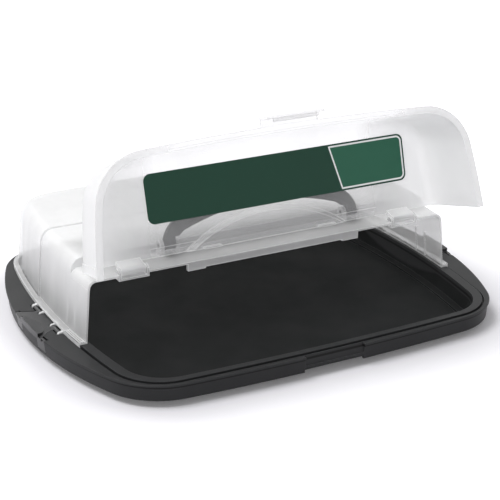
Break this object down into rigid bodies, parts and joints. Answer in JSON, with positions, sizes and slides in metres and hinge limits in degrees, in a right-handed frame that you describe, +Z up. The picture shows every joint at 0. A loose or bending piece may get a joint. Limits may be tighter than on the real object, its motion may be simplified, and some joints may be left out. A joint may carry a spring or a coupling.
{
  "type": "cake carrier with hinged lid",
  "caption": "Rectangular cake carrier: dark tray with a raised bead, frosted hood with a wide flap that swings up, bail handle on the roof and a hinged latch at each end.",
  "frame": {"origin": "centre of the tray's underside, on the surface it stands on", "axes": "+Z up, +X to the right end, -Y towards the front opening and flap"},
  "size_m": [0.46, 0.3718, 0.2243],
  "materials": {
    "tray": "fine satin, anthracite polypropylene",
    "hood": "frosted translucent polypropylene",
    "handle": "satin dark grey",
    "latch": "fine satin, anthracite polypropylene",
    "pin": "plain drawn wire",
    "label": "dark green film, bare"
  },
  "bodies": {
    "tray": {"tray": "tray"},
    "hood": {"rear_hood": "hood", "flap_pin_left": "pin", "flap_pin_right": "pin", "latch_pin_left": "pin", "latch_pin_right": "pin"},
    "flap": {"front_flap": "hood", "label": "label"},
    "handle": {"carry_handle": "handle"},
    "latch_left": {"latch_left": "latch"},
    "latch_right": {"latch_right": "latch"}
  },
  "joints": [
    {"name": "hood_lift", "type": "slide", "parent": "tray", "child": "hood", "axis": [0, 0, 1], "range_m": [0, 0.15]},
    {"name": "flap_hinge", "type": "hinge", "parent": "hood", "child": "flap", "pos_m": [0, -0.066, 0.086], "axis": [1, 0, 0], "range_deg": [0, 105]},
    {"name": "handle_pivot", "type": "hinge", "parent": "hood", "child": "handle", "pos_m": [0, -0.041, 0.0935], "axis": [1, 0, 0], "range_deg": [-72, 0]},
    {"name": "latch_left_hinge", "type": "hinge", "parent": "hood", "child": "latch_left", "pos_m": [-0.2075, 0, 0.0212], "axis": [0, 1, 0], "range_deg": [0, 85]},
    {"name": "latch_right_hinge", "type": "hinge", "parent": "hood", "child": "latch_right", "pos_m": [0.2075, 0, 0.0212], "axis": [0, -1, 0], "range_deg": [0, 85]}
  ]
}
